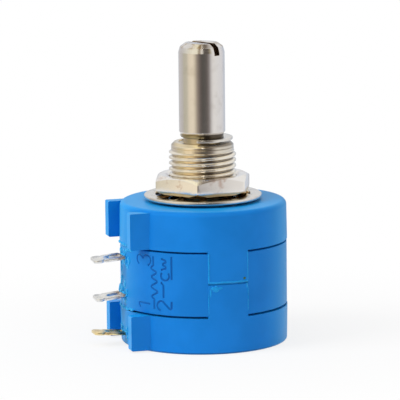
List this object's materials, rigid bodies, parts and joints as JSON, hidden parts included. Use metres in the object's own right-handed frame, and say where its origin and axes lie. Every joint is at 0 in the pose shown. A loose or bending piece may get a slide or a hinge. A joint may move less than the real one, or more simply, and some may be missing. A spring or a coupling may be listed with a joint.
{
  "type": "multiturn potentiometer",
  "caption": "Panel-mount rotary potentiometer that turns many times from end to end: blue moulded body, slotted plain shaft, threaded bushing with nut and lock washer, solder lugs.",
  "frame": {"origin": "centre of the housing's front face, where the panel seats, on the shaft's axis", "axes": "+Z along the shaft, out of the housing; -X towards the solder lugs"},
  "size_m": [0.026, 0.0222, 0.0398],
  "materials": {
    "cover_blue": "moulded, smooth satin gloss",
    "housing_blue": "moulded, smooth satin gloss",
    "nickel_thread": "nickel plated, machined",
    "nickel_nut": "nickel plated, stamped",
    "spring_steel": "plated spring steel",
    "shaft_steel": "fine turned",
    "tinned_lug": "tin plated",
    "gold_lug": "gold flashed",
    "sealant": "blue sealing compound",
    "coil_wire": "fine resistance wire, close wound",
    "contact_metal": "precious metal contact",
    "rotor_plastic": "moulded",
    "carriage_plastic": "low-friction moulding",
    "washer_brass": "stamped"
  },
  "bodies": {
    "housing": {"front_cover": "cover_blue", "coil_housing": "housing_blue", "rear_cover": "cover_blue", "bushing": "nickel_thread", "terminal_1": "tinned_lug", "terminal_2": "gold_lug", "terminal_3": "tinned_lug", "terminal_seal_1": "sealant", "terminal_seal_2": "sealant", "terminal_seal_3": "sealant", "resistance_coil": "coil_wire", "coil_clip_front": "contact_metal", "coil_clip_rear": "contact_metal", "brush_spring": "contact_metal"},
    "shaft": {"shaft": "shaft_steel", "retaining_ring": "spring_steel", "rotor": "rotor_plastic", "contact_rail": "contact_metal", "slip_ring": "contact_metal", "thrust_washer": "washer_brass"},
    "carriage": {"wiper_carriage": "carriage_plastic", "wiper_contact": "contact_metal"},
    "washer": {"lock_washer": "spring_steel"},
    "nut": {"mounting_nut": "nickel_nut"}
  },
  "joints": [
    {"name": "shaft_turn", "type": "hinge", "parent": "housing", "child": "shaft", "pos_m": [0, 0, 0], "axis": [0, 0, 1], "range_deg": [-1845, 1755]},
    {"name": "wiper_travel", "type": "slide", "parent": "shaft", "child": "carriage", "axis": [0, 0, 1], "range_m": [-0.00536, 0.00563]},
    {"name": "washer_lift", "type": "slide", "parent": "housing", "child": "washer", "axis": [0, 0, 1], "range_m": [0, 0.00419]},
    {"name": "nut_turn", "type": "hinge", "parent": "washer", "child": "nut", "pos_m": [0, 0, 0], "axis": [0, 0, 1], "range_deg": [0, 2016]}
  ],
  "couplings": [
    {"joint": "shaft_turn", "follows": "wiper_travel", "rad_per_m": -5712},
    {"joint": "nut_turn", "follows": "washer_lift", "rad_per_m": 8377.6}
  ]
}
